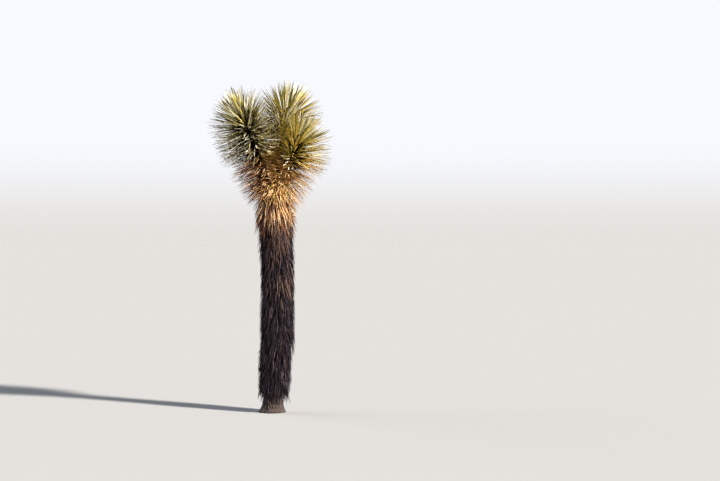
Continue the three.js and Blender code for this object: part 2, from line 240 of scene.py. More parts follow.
def leaf_group(
    class_name, note, length, youngest, width, thickness, jitter, swing, aside, bow, twist, shortest, lift,
    tufts,
):
    """A property group class for one kind of leaf, with its own sizes as the defaults."""
    return size_group(class_name, note, {
        "length": length_prop("Length", "From the stem's surface to the spine", length),
        "youngest": share_prop("Youngest", "Share of the length that the youngest leaf has", youngest),
        "width": length_prop("Width", "At the widest place", width),
        "thickness": length_prop("Thickness", "At the keel near the base", thickness),
        "jitter": angle_prop("Jitter", "How far a leaf's angle strays", jitter),
        "swing": angle_prop("Swing", "How far a leaf strays round the stem", swing),
        "aside": share_prop("Aside", "How far a leaf leans aside, as a share of its length", aside),
        "bow": share_prop("Bow", "How far a leaf bows, as a share of its length", bow),
        "twist": angle_prop("Twist", "How far a leaf turns about itself by its tip", twist),
        "shortest": share_prop("Shortest", "Share of the length that the shortest leaf has", shortest),
        "lift": angle_prop("Lift", "How much further a leaf of no length would stand off", lift),
        "tufts": angle_prop("Tufts", "How far whole tufts of leaves stand off or lie close", tufts),
    })


GreenLeaf = leaf_group(
    "GreenLeaf", "The living dagger leaf.", 304, 0.92, 12.5, 5, 13, 8, 0.12, 0.02, 14, 0.86, 0, 0
)
StrawLeaf = leaf_group(
    "StrawLeaf", "The lately dead leaf.", 258, 1, 7, 3, 7, 7, 0.12, 0.025, 22, 0.74, 8, 4
)
ThatchLeaf = leaf_group(
    "ThatchLeaf", "The old hanging leaf.", 232, 1, 8, 2.6, 7, 9, 0.22, 0.05, 60, 0.42, 36, 7
)


class Tints(PropertyGroup):
    """Plain colours, which are dealt out leaf by leaf."""

    # Painted highlight: near-white leaves that stand in for the lamps' gloss, partly the pale waxy bloom
    green_cream: colour_prop("Cream", "Leaves whose waxy face is bleached", 247, 243, 230)
    green_cool: colour_prop("Cool green", "Young leaves", 166, 164, 138)
    green_olive: colour_prop("Olive green", "Most living leaves", 138, 130, 56)
    # Painted sunlight: yellower living leaves on the key lamp's side, partly their own yellowing
    green_yellow: colour_prop("Yellow green", "Living leaves that see the sun", 224, 203, 108)
    # Painted shade: a darker copy of the living green, dealt to leaves the light should not reach
    green_deep: colour_prop("Deep green", "Living leaves that see little sun", 72, 68, 32)
    green_old: colour_prop("Old green", "The lowest living leaves", 188, 157, 90)
    green_margin: colour_prop("Leaf margin", "The pale horny edge of a living leaf", 242, 236, 214)
    # Painted shade: the root of each living leaf, and the lower part of its deepest ones, near black
    green_base: colour_prop("Leaf base", "The dull base of a living leaf, deep in the head", 28, 24, 14)
    green_spine: colour_prop("Spine", "The spine at a living leaf's tip", 92, 72, 56)
    # Partly the driest straw, partly painted sunlight on leaves that face the key lamp
    straw_pale: colour_prop("Pale straw", "The driest leaves", 250, 217, 171)
    straw_gold: colour_prop("Gold straw", "Leaves that have just died", 218, 170, 106)
    straw_tan: colour_prop("Tan", "Common dead leaves", 177, 129, 83)
    straw_rust: colour_prop("Rust brown", "Dead leaves deep in the skirt", 124, 81, 56)
    # Partly the umber of old dead leaves, partly painted shade among the straw and deep in the heads
    straw_umber: colour_prop("Umber", "Dead leaves that never see the sun", 70, 47, 38)
    thatch_tan: colour_prop("Faded tan", "Thatch that has kept some of its straw colour", 108, 86, 74)
    thatch_pale: colour_prop("Pale grey", "The few bleached leaves of the thatch", 87, 76, 85)
    thatch_grey: colour_prop("Grey", "Weathered thatch", 47, 40, 51)
    thatch_brown: colour_prop("Grey brown", "Common thatch", 31, 25, 31)
    thatch_dark: colour_prop("Dark brown", "Old thatch", 18, 13, 18)
    bark_plate: colour_prop("Bark plate", "The weathered face of a bark plate", 70, 58, 55)
    bark_furrow: colour_prop("Bark furrow", "Down in a furrow of the bark", 26, 20, 18)
    bark_dust: colour_prop("Dust", "Blotches of dust on the bark", 92, 78, 72)
    floor: colour_prop("Floor", "The plain pale floor", 158, 158, 160)
    floor_bounce: colour_prop("Floor bounce", "What the floor throws back on the tree", 110, 98, 90)
    haze: colour_prop("Haze", "The backdrop at the horizon", 229, 226, 222)


class Studio(PropertyGroup):
    """Camera, lamps and backdrop."""

    eye_side: length_prop("Eye to the side", "The camera stands this far to the right", 757)
    eye_back: length_prop("Eye distance", "The camera stands this far in front", 14600)
    eye_height: length_prop("Eye height", "The camera stands this high", 1475)
    lens: number_prop("Lens", "Focal length in millimetres", 85)
    sensor: number_prop("Sensor", "Width of the camera's sensor in millimetres", 36)
    key_strength: number_prop("Key", "Strength of the key lamp", 10.4)
    key_turn: angle_prop("Key turn", "How far behind the tree's right side the key lamp stands", -38)
    key_height: angle_prop("Key height", "How high the key lamp stands", 33)
    key_size: angle_prop("Key size", "How wide the key lamp looks, which softens its shadows", 5)
    key_colour: light_prop("Key colour", "The key lamp is warm", 1, 0.94, 0.84)
    fill_strength: number_prop("Fill", "Strength of the fill lamp", 2.6)
    fill_turn: angle_prop("Fill turn", "How far round the back it stands, from the right side", 155)
    fill_height: angle_prop("Fill height", "How high the fill lamp stands", 25)
    fill_size: angle_prop("Fill size", "How wide the fill lamp looks", 60)
    fill_colour: light_prop("Fill colour", "The fill lamp is cool", 0.82, 0.9, 1)
    sky_light: share_prop("Sky light", "How strongly the pale backdrop lights the tree", 0.22)
    sky_colour: light_prop("Sky colour", "The backdrop above the haze", 0.93, 0.95, 1)
    haze_top: share_prop("Haze top", "Where the haze ends, as a share of the way up", 0.06)


SIZE_GROUPS = {
    "trunk": TrunkSizes, "bark": BarkSizes, "coat": CoatSizes, "habit": LeafHabit, "counts": LeafCounts,
    "left": LeftBough, "upper_right": UpperRightBough, "right": RightBough, "green": GreenLeaf,
    "straw": StrawLeaf, "thatch": ThatchLeaf, "tints": Tints, "studio": Studio,
}
TreeSettings = size_group(
    "TreeSettings", "Everything that the tree is grown from.",
    {name: PointerProperty(type=group) for name, group in SIZE_GROUPS.items()},
)


# Curves of the trunk and the boughs

def mix(start, end, share):
    """From start to end by a share."""
    return start + (end - start) * share


def cap(share):
    """A share kept between 0 and 1."""
    return np.clip(share, 0, 1)


def smooth(share):
    """A share that starts and ends gently."""
    kept = cap(share)
    return kept * kept * (3 - 2 * kept)


def ramp(value, start, span):
    """A share that goes gently from 0 to 1 while a value goes from a start through a span."""
    return smooth((value - start) / span)


def unit(vectors):
    """Vectors of length 1."""
    return vectors / np.linalg.norm(vectors, axis=-1, keepdims=True)


class Line:
    """The middle line of a limb, as points at known lengths along it."""

    def __init__(self, points):
        self.points = points
        steps = np.linalg.norm(np.diff(points, axis=0), axis=1)
        self.places = np.concatenate([[0], np.cumsum(steps)])
        self.length = self.places[-1]

    def at(self, along):
        """The points at these lengths."""
        return np.stack([np.interp(along, self.places, axis) for axis in self.points.T], axis=-1)

    def frame(self, along):
        """Point, upward direction, side and front at these lengths. It goes straight on past its end."""
        along = np.atleast_1d(along)
        step = self.length / LINE_POINTS
        inside = np.clip(along, step, self.length - step)
        forward = unit(self.at(inside + step) - self.at(inside - step))
        past = np.clip(along - self.length, 0, None)
        point = self.at(np.clip(along, 0, self.length)) + forward * past[:, None]
        side = unit(np.cross((0, 1, 0), forward))
        return SimpleNamespace(point=point, along=forward, side=side, front=np.cross(forward, side))


def trunk_middle(height):
    """The middle of the trunk at these heights: one half wave."""
    trunk = bpy.context.scene.tree.trunk
    bow = np.sin(math.pi * np.asarray(height) / trunk.bow_height)
    return np.stack([trunk.bow_side * bow, trunk.bow_depth * bow, height + bow * 0], axis=-1)


def trunk_line():
    """The trunk's middle line from the ground to the fork."""
    fork_height = bpy.context.scene.tree.trunk.fork_height
    return Line(trunk_middle(np.linspace(0, fork_height, LINE_POINTS)))


def root_flare(height):
    """What the root flare adds to the trunk's radius."""
    trunk = bpy.context.scene.tree.trunk
    return trunk.flare * np.exp(-height / trunk.flare_fade)


def trunk_radius(height):
    """The wood's radius, with the root flare."""
    trunk = bpy.context.scene.tree.trunk
    taper = mix(trunk.foot_radius, trunk.neck_radius, height / trunk.fork_height)
    return taper + root_flare(height)


def sleeve_wall(height):
    """How thick the packed leaf bases are round the trunk."""
    coat = bpy.context.scene.tree.coat
    return mix(coat.foot_wall, coat.sleeve_wall, cap(height / coat.worn_height))


def bough_line(name):
    """A bough's middle line, from the fork to its growing tip."""
    tree = bpy.context.scene.tree
    bough = getattr(tree, name)
    out = np.array((math.cos(bough.heading), math.sin(bough.heading), 0))
    upward = np.array((0, 0, 1))
    fork = trunk_middle(tree.trunk.fork_height)
    bend = fork + out * bough.reach * bough.bend_out + upward * bough.rise * bough.bend_up
    tip = fork + out * bough.reach + upward * bough.rise
    share = np.linspace(0, 1, LINE_POINTS)[:, None]
    return Line((1 - share) ** 2 * fork + 2 * share * (1 - share) * bend + share**2 * tip)


def bough_radius(along, length):
    """A bough's radius at a distance along it, with the growing tip rounded off."""
    trunk = bpy.context.scene.tree.trunk
    taper = mix(trunk.bough_radius, trunk.tip_radius, along / length)
    into_tip = cap((along - (length - trunk.tip_rounding)) / trunk.tip_rounding)
    return taper * np.sqrt(1 - into_tip**2)


# Leaves by the rule of the solids

def leaf_angle(age, above_fork):
    """A leaf's angle from the stem's upward direction: it opens below the tip and folds down at the fork."""
    tree = bpy.context.scene.tree
    habit = tree.habit
    opened = habit.spread * (1 - np.exp(-age / habit.opening))
    folded = 1 / (1 + np.exp((above_fork - habit.fold_place) / habit.fold_width))
    up_trunk = cap((above_fork + tree.trunk.fork_height) / tree.trunk.fork_height)
    hanging = habit.hanging - habit.bulge * np.sin(math.pi * up_trunk) ** 2
    return mix(opened, hanging, folded)


def leaf_length(kind, age, above_fork):
    """A leaf's length: shorter in the bud and at the trunk's foot."""
    tree = bpy.context.scene.tree
    young = mix(kind.youngest, 1, cap(age / tree.habit.opening))
    worn = cap((above_fork + tree.trunk.fork_height) / tree.coat.worn_height)
    return kind.length * young * mix(tree.habit.foot_length, 1, worn)


def draw(random, amount, count):
    """Evenly spread draws from minus to plus an amount."""
    return amount * random.uniform(-1, 1, count)


def tuft_pattern(random, turn, along):
    """A smooth seeded pattern round a stem and along it, from about -1 to 1."""
    waves, most_around, steepest = 8, 7, 95
    total = 0
    for _ in range(waves):
        around = random.integers(2, most_around + 1)
        up = random.uniform(-steepest, steepest)
        total = total + np.sin(around * turn + up * along + random.uniform(0, 2 * math.pi))
    return total / math.sqrt(waves)


def grow(random, stem, kind, count, in_space):
    """The leaves of one stem: a golden-angle spiral of roots, from its upper end to its lower end."""
    bud_length, bud_age, longest = 0.8, 0.12, 1.06
    habit = bpy.context.scene.tree.habit
    order = np.arange(count)
    along = mix(stem.start, stem.end, ((order + 0.5) / count) ** stem.crowding)
    place = stem.line.frame(along)
    age = stem.tip_at - along
    above_fork = along - stem.fork_at
    wall = stem.wall_at(along)
    surface_radius = stem.radius_at(along) + wall
    shortest = mix(bud_length, 1, cap(age / bud_age)) * kind.shortest
    size = mix(shortest, longest, random.uniform(size=count))
    at_neck = mix(stem.neck, 1, cap(above_fork / habit.neck_span))
    whole = leaf_length(kind, age, above_fork) * at_neck * size
    tuft = tuft_pattern(random, order * GOLDEN_ANGLE, along)
    usual = leaf_angle(age, above_fork) - kind.lift * (1 - size) - kind.tufts * tuft
    grown = {key: np.zeros((count, 3)) for key in ("outward", "surface", "tip")}
    grown["angle"] = np.zeros(count)
    waiting = np.ones(count, bool)
    for attempt in range(TRIES):
        now = np.flatnonzero(waiting)
        turn = order[now] * GOLDEN_ANGLE + draw(random, kind.swing * (1 + attempt), len(now))
        outward = place.side[now] * np.cos(turn)[:, None] + place.front[now] * np.sin(turn)[:, None]
        angle = usual[now] + draw(random, kind.jitter * (1 + attempt / 2), len(now))
        direction = place.along[now] * np.cos(angle)[:, None] + outward * np.sin(angle)[:, None]
        across = np.cross(place.along[now], outward)
        direction = unit(direction + across * draw(random, kind.aside, len(now))[:, None])
        surface = place.point[now] + outward * surface_radius[now, None]
        tip = surface + direction * (whole[now] * (1 - SHORTENING * attempt))[:, None]
        kept = in_space(surface, tip)
        settled = now[kept]
        for key, value in (("outward", outward), ("surface", surface), ("tip", tip), ("angle", angle)):
            grown[key][settled] = value[kept]
        waiting[settled] = False
    stays = ~waiting
    leaves = SimpleNamespace(**{key: value[stays] for key, value in grown.items()})
    leaves.along = place.along[stays]
    leaves.wall, leaves.age, leaves.tuft = wall[stays], age[stays], tuft[stays]
    leaves.count = int(stays.sum())
    return leaves


def nearest(points, places):
    """Each place's distance to the nearest of some points."""
    return np.linalg.norm(places[:, None] - points[None], axis=2).min(axis=1)


def inside_box(node, allowance=8 * MM):
    """A test for whether tips keep to a CAD node's reach."""
    low, high = (np.array(corner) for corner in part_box(node))
    return lambda tip: ((tip > low - allowance) & (tip < high + allowance)).all(axis=1)


def clear_of(limbs, surface, tip, clearance=6 * MM):
    """Whether leaves pass clear of limbs, each given as points and their radii."""
    clear = np.ones(len(tip), bool)
    for points, radii in limbs:
        for share in np.linspace(0.15, 1, 8):
            gap = np.linalg.norm(mix(surface, tip, share)[:, None] - points[None], axis=2) - radii[None]
            clear &= gap.min(axis=1) > clearance
    return clear


# Leaf meshes

class Blade:
    """The outline and the section of one kind of blade.

    Each ring is (share of the length, half width, thickness), as shares of the leaf's own. The first ring
    is the root, which is sunk in the stem. Sections are points (across, up) round the blade, from its left
    edge over the upper side to the right edge and back under the keel. Edges are the section's columns that
    lie at the blade's two edges. The rest are numbers of spans between rings: where the spine starts, if the
    blade has one, and where the base and the lower part end.
    """

    def __init__(self, rings, section, edges=(), spine_from=None, base_to=0, painted_shade_to=0):
        self.share, self.half_width, self.thickness = np.array(rings).T
        self.section = np.array(section)
        self.edges = edges
        self.spine_from = spine_from or len(rings)
        self.base_to = base_to
        self.painted_shade_to = painted_shade_to

    def faces(self):
        """Corner numbers of one blade's faces, and the part of the blade that each belongs to."""
        around = len(self.section)
        spans = len(self.share) - 1
        faces, parts = [tuple(range(around))[::-1]], ["base"]
        for span in range(spans):
            for column in range(around):
                following = (column + 1) % around
                low, high = span * around, (span + 1) * around
                faces.append((low + column, low + following, high + following, high + column))
                parts.append(self.part(span, column))
        last, tip = spans * around, (spans + 1) * around
        for column in range(around):
            faces.append((last + column, last + (column + 1) % around, tip))
            parts.append("spine" if self.spine_from <= spans else "body")
        return faces, parts

    def part(self, span, column):
        """The part of the blade that a face between two rings belongs to."""
        if span < self.base_to:
            return "base"
        # The lower part, which takes a darker tint as painted shade in the heads
        if span < self.painted_shade_to:
            return "low"
        if span >= self.spine_from:
            return "spine"
        return "margin" if column in self.edges else "body"


GREEN_BLADE = Blade(
    rings=(
        (0, 1.5, 0.9), (0, 1.25, 1), (0.07, 0.82, 0.95), (0.36, 1, 0.75), (0.64, 0.88, 0.55),
        (0.86, 0.54, 0.4), (0.965, 0.22, 0.28),
    ),
    section=(
        (-1, 0.3), (-0.78, 0.16), (0, -0.02), (0.78, 0.16), (1, 0.3), (0.56, -0.32), (0, -0.7),
        (-0.56, -0.32),
    ),
    edges=(0, 3), spine_from=6, base_to=2, painted_shade_to=3,
)
DRY_SECTION = ((-1, 0.45), (0, -0.05), (1, 0.45), (0.55, -0.3), (0, -0.6), (-0.55, -0.3))
DEAD_BLADE = Blade(
    rings=(
        (0, 1.5, 0.9), (0, 1.3, 1), (0.07, 1, 0.95), (0.2, 0.92, 0.8), (0.42, 0.8, 0.7),
        (0.66, 0.56, 0.6), (0.86, 0.28, 0.5),
    ),
    section=DRY_SECTION,
)
THATCH_BLADE = Blade(
    rings=((0, 1.5, 0.9), (0, 1.3, 1), (0.1, 1, 0.95), (0.3, 0.9, 0.8), (0.56, 0.7, 0.7), (0.82, 0.36, 0.5)),
    section=DRY_SECTION,
)


def blade_points(random, leaves, blade, kind, root_angle, sink):
    """Corners and length of every blade. A folded leaf bends from the root angle to its own angle."""
    fold_share, least_sine, narrowest, widest = 0.16, 0.5, 0.85, 1.15
    share = blade.share
    root = np.minimum(leaves.angle, root_angle)[:, None]
    angle = mix(root, leaves.angle[:, None], smooth(share / fold_share))
    cosine, sine = np.cos(angle)[..., None], np.sin(angle)[..., None]
    along, outward = leaves.along[:, None], leaves.outward[:, None]
    direction = along * cosine + outward * sine
    upper = along * sine - outward * cosine
    length = np.linalg.norm(leaves.tip - leaves.surface, axis=1)
    step = np.diff(share)[None, :, None] * length[:, None, None]
    run = np.cumsum((direction[:, 1:] + direction[:, :-1]) / 2 * step, axis=1)
    middle = leaves.surface[:, None] + np.concatenate([run[:, :1] * 0, run], axis=1)
    last_step = ((1 - share[-1]) * length)[:, None]
    end = middle[:, -1] + direction[:, -1] * last_step
    middle += (leaves.tip - end)[:, None] * share[None, :, None]
    depth = sink + leaves.wall / np.maximum(np.sin(root[:, 0]), least_sine)
    middle[:, 0] = leaves.surface - direction[:, 0] * depth[:, None]

    across = np.cross(leaves.along, leaves.outward)
    arch = (4 * share * (1 - share))[None, :, None] * length[:, None, None]
    bow = draw(random, kind.bow, leaves.count)[:, None, None]
    sway = draw(random, kind.bow, leaves.count)[:, None, None]
    middle += arch * (bow * upper + sway * across[:, None])
    turn = draw(random, kind.twist, leaves.count)[:, None] * share[None]
    cosine, sine = np.cos(turn)[..., None], np.sin(turn)[..., None]
    wide = across[:, None] * cosine + upper * sine
    deep = upper * cosine - across[:, None] * sine

    width = kind.width * random.uniform(narrowest, widest, leaves.count) / 2
    half_width = width[:, None, None] * blade.half_width[None, :, None] * blade.section[:, 0]
    height = kind.thickness * blade.thickness[None, :, None] * blade.section[:, 1]
    corners = middle[:, :, None] + wide[:, :, None] * half_width[..., None]
    corners += deep[:, :, None] * height[..., None]
    corners = corners.reshape(leaves.count, -1, 3)
    return np.concatenate([corners, leaves.tip[:, None]], axis=1), length


def mesh_object(name, corners, faces, sizes, material_numbers, materials, uv=None, is_smooth=False):
    """A mesh object from arrays: corners, the faces' corner numbers one after another, and their sizes."""
    mesh = bpy.data.meshes.new(name)
    mesh.vertices.add(len(corners))
    mesh.vertices.foreach_set("co", np.ascontiguousarray(corners, np.float32).ravel())
    mesh.loops.add(len(faces))
    mesh.loops.foreach_set("vertex_index", faces.astype(np.int32))
    mesh.polygons.add(len(sizes))
    starts = np.concatenate([[0], np.cumsum(sizes)[:-1]])
    mesh.polygons.foreach_set("loop_start", starts.astype(np.int32))
    mesh.polygons.foreach_set("material_index", material_numbers.astype(np.int32))
    mesh.polygons.foreach_set("use_smooth", np.full(len(sizes), is_smooth))
    if uv is not None:
        mesh.uv_layers.new(name=BLADE_MAP).data.foreach_set("uv", uv.astype(np.float32).ravel())
    for material in materials:
        mesh.materials.append(material)
    mesh.update(calc_edges=True)
    made = bpy.data.objects.new(name, mesh)
    bpy.context.scene.collection.objects.link(made)
    return made


def leaf_piece(
    random, name, blade, leaves, kind, shares, root_angle=math.pi, sink=6 * MM, lower=None, parts=None
):
    """Joins a mass's blades into one piece, which replaces the node of that name.

    Each blade's body has the tint that is dealt to it, and its lower part a tint that goes with that one.
    The other parts of all blades have one tint each.
    """
    corners, lengths = blade_points(random, leaves, blade, kind, root_angle, sink)
    dealt = deal(random, shares)
    lower, parts = lower or {}, parts or {}
    tints = list(dict.fromkeys([*shares, *lower.values(), *parts.values()]))
    numbers_of = {part: np.full(leaves.count, tints.index(tint)) for part, tint in parts.items()}
    # A head leaf's lower part takes the darker tint that goes with its own, as painted shade
    numbers_of["low"] = np.array([tints.index(lower.get(tint, tint)) for tint in shares])[dealt]
    faces, face_parts = blade.faces()
    numbers = np.stack([numbers_of.get(part, dealt) for part in face_parts], axis=1)
    sizes = np.array([len(face) for face in faces])
    template = np.concatenate(faces)
    leaf_number = np.arange(leaves.count)[:, None]
    loops = (template + leaf_number * corners.shape[1]).ravel()
    around = len(blade.section)
    side = np.append(np.tile(np.arange(around) / around, len(blade.share)), 0.5)[template]
    share = np.append(np.repeat(blade.share, around), 1.0)[template]
    uv = np.stack([side + leaf_number, share * lengths[:, None] / BLADE_MAP_SIZE], axis=-1)
    made = mesh_object(
        f"{name}_leaves", corners.reshape(-1, 3), loops, np.tile(sizes, leaves.count), numbers.ravel(),
        blade_materials(tints), uv,
    )
    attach(made, BODY)
    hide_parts(name)


def deal(random, shares):
    """Deals one of several tints to each leaf. A tint's share is one number, or one for each leaf."""
    weights = np.stack(np.broadcast_arrays(*shares.values()), axis=1)
    up_to = np.cumsum(weights, axis=1) / np.sum(weights, axis=1, keepdims=True)
    return (random.uniform(size=(len(weights), 1)) > up_to).sum(axis=1)


def joined(parts):
    """Several stems' leaves as one set."""
    keys = ("outward", "surface", "tip", "angle", "along", "wall", "age", "tuft")
    whole = SimpleNamespace(**{key: np.concatenate([getattr(part, key) for part in parts]) for key in keys})
    whole.count = sum(part.count for part in parts)
    return whole


# Materials

def feed(made, **values):
    """Gives a node its inputs and settings, with _ for each space of an input's name.

    An input's value is a plain one, or the output that is linked to it.
    """
    for key, value in values.items():
        label = key.replace("_", " ")
        if label not in made.inputs:
            setattr(made, key, value)
        elif isinstance(value, bpy.types.NodeSocket):
            made.id_data.links.new(value, made.inputs[label])
        else:
            made.inputs[label].default_value = value
    return made


def node(tree, kind, **values):
    """A new shader node with its settings and inputs."""
    return feed(tree.nodes.new(f"ShaderNode{kind}"), **values)


def colour_mix(tree, share, first, second, blend_type="MIX"):
    """Two colours mixed by a share. Each of the three is a plain value or the output that gives it."""
    made = node(tree, "Mix", data_type="RGBA", blend_type=blend_type, Factor=share, A=first, B=second)
    return made.outputs["Result"]


def fibre_group():
    """Fibres that run along a blade: a height and a roughness."""
    name, number = "Blade fibre", "NodeSocketFloat"
    if name in bpy.data.node_groups:
        return bpy.data.node_groups[name]
    group = bpy.data.node_groups.new(name, "ShaderNodeTree")
    for label, value in (("Fibres", 40.0), ("Smoothest", 0.4), ("Roughest", 0.6)):
        socket = group.interface.new_socket(name=label, in_out="INPUT", socket_type=number)
        socket.default_value = value
    for label in ("Height", "Roughness"):
        group.interface.new_socket(name=label, in_out="OUTPUT", socket_type=number)
    start = group.nodes.new("NodeGroupInput")
    end = group.nodes.new("NodeGroupOutput")
    place = node(group, "UVMap", uv_map=BLADE_MAP)
    split = node(group, "SeparateXYZ", Vector=place.outputs["UV"])
    finer = node(group, "Math", operation="MULTIPLY")
    group.links.new(split.outputs["X"], finer.inputs[0])
    group.links.new(start.outputs["Fibres"], finer.inputs[1])
    stretched = node(group, "CombineXYZ", X=finer.outputs["Value"], Y=split.outputs["Y"])
    fibres = node(
        group, "TexNoise", Vector=stretched.outputs["Vector"], Scale=1.0, Detail=3.0, Roughness=0.6
    )
    shine = node(
        group, "MapRange", Value=fibres.outputs["Fac"], To_Min=start.outputs["Smoothest"],
        To_Max=start.outputs["Roughest"],
    )
    feed(end, Height=fibres.outputs["Fac"], Roughness=shine.outputs["Result"])
    return group


def new_material(name):
    """A material with only its shader and its output, and the shader itself."""
    material = bpy.data.materials.new(name)
    material.use_nodes = True
    nodes = material.node_tree.nodes
    return material, next(n for n in nodes if n.type == "BSDF_PRINCIPLED")


def blade_material(name, colour):
    """A leaf's surface: one plain colour, with fibres in its relief and its shine."""
    fibre_depth = 0.6 * MM
    smoothest, roughest, relief, shine = FINISHES[name.split("_")[0]]
    material, shader = new_material(name)
    tree = material.node_tree
    fibre = node(tree, "Group", node_tree=fibre_group())
    feed(fibre, Smoothest=smoothest, Roughest=roughest)
    bump = node(tree, "Bump", Height=fibre.outputs["Height"], Strength=relief, Distance=fibre_depth)
    feed(
        shader, Base_Color=(*colour, 1), Specular_IOR_Level=shine, Roughness=fibre.outputs["Roughness"],
        Normal=bump.outputs["Normal"],
    )
    return material


def blade_materials(names):
    """The leaf materials of some tints, in their order."""
    tints = bpy.context.scene.tree.tints
    return [bpy.data.materials.get(name) or blade_material(name, getattr(tints, name)) for name in names]


def bark_material():
    """Weathered bark: plates, furrows, blotches of dust and a fine grain."""
    tints = bpy.context.scene.tree.tints
    material, shader = new_material("bark")
    tree = material.node_tree
    place = node(tree, "TexCoord").outputs["Object"]
    height = node(tree, "Attribute", attribute_name="plate").outputs["Fac"]
    plate = colour_mix(tree, height, (*tints.bark_furrow, 1), (*tints.bark_plate, 1))
    blotch = node(tree, "TexNoise", Vector=place, Scale=22.0, Detail=3.0).outputs["Fac"]
    dust = node(tree, "MapRange", Value=blotch, From_Min=0.5, From_Max=0.75, To_Max=0.5)
    dusted = colour_mix(tree, dust.outputs["Result"], plate, (*tints.bark_dust, 1))
    upright = node(tree, "Mapping", Vector=place, Scale=(1, 1, 0.35)).outputs["Vector"]
    grain = node(tree, "TexNoise", Vector=upright, Scale=110.0, Detail=8.0, Roughness=0.7).outputs["Fac"]
    shades = node(tree, "MapRange", Value=grain, From_Min=0.3, From_Max=0.7, To_Min=0.35, To_Max=1.5)
    grain_share = 0.7
    grained = colour_mix(tree, grain_share, dusted, shades.outputs["Result"], "MULTIPLY")
    rough = node(tree, "MapRange", Value=grain, To_Min=0.75, To_Max=0.98)
    bump = node(tree, "Bump", Height=grain, Strength=0.9, Distance=3 * MM)
    feed(shader, Base_Color=grained, Roughness=rough.outputs["Result"], Normal=bump.outputs["Normal"])
    return material


# Bark meshes

def plate_relief(random, radius, length, heights, around):
    """Relief of bark plates on a limb, at these heights and at a number of places round it.

    It returns how far each place stands above the floor of the furrows, from 0 to 1, and its plate's lean.
    """
    stray, fewest_columns, fewest_rows, at_once = 0.34, 6, 3, 4000
    bark = bpy.context.scene.tree.bark
    squeeze = bark.plate_width / bark.plate_height
    width = 2 * math.pi * radius
    columns = max(fewest_columns, round(width / bark.plate_width))
    rows = max(fewest_rows, round(length / bark.plate_height))
    column, row = np.meshgrid(np.arange(columns), np.arange(rows + 2))
    across = (column + 0.5 * (row % 2) + draw(random, stray, column.shape)) / columns * width
    up = (row - 0.5 + draw(random, stray, row.shape)) * bark.plate_height
    centres = np.stack([across.ravel(), up.ravel() * squeeze], axis=1)
    centres = np.concatenate([centres + (turn * width, 0) for turn in (-1, 0, 1)])
    lean = np.tile(draw(random, 1, column.size), 3)
    grid = np.meshgrid(np.linspace(0, width, around, endpoint=False), heights * squeeze)
    places = np.stack(grid, axis=-1).reshape(-1, 2)
    places += draw(random, bark.raggedness, places.shape)
    stands, leans = np.empty((2, len(places)))
    for start in range(0, len(places), at_once):
        part = slice(start, start + at_once)
        gaps = np.linalg.norm(places[part, None] - centres[None], axis=2)
        two = np.partition(gaps, 1, axis=1)[:, :2]
        stands[part] = smooth((two[:, 1] - two[:, 0]) / bark.furrow_width)
        leans[part] = lean[gaps.argmin(axis=1)]
    return stands.reshape(-1, around), leans.reshape(-1, around)


def bark_tube(name, place, radii, stands, material):
    """A tube of bark from rings of points, closed at its foot and at its top by one face each."""
    rings, around = radii.shape
    turn = np.linspace(0, 2 * math.pi, around, endpoint=False)[:, None]
    outward = place.side[:, None] * np.cos(turn) + place.front[:, None] * np.sin(turn)
    corners = (place.point[:, None] + outward * radii[..., None]).reshape(-1, 3)
    column = np.arange(around)
    following = (column + 1) % around
    low = np.arange(rings - 1)[:, None] * around
    high = low + around
    quads = np.stack([low + column, low + following, high + following, high + column], axis=-1)
    faces = np.concatenate([quads.ravel(), column[::-1], high[-1] + column])
    sizes = np.array([4] * (rings - 1) * around + [around, around])
    made = mesh_object(name, corners, faces, sizes, np.zeros(len(sizes)), [material], is_smooth=True)
    plate = made.data.attributes.new("plate", "FLOAT", "POINT")
    plate.data.foreach_set("value", stands.ravel().astype(np.float32))
    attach(made, BODY)
    return made


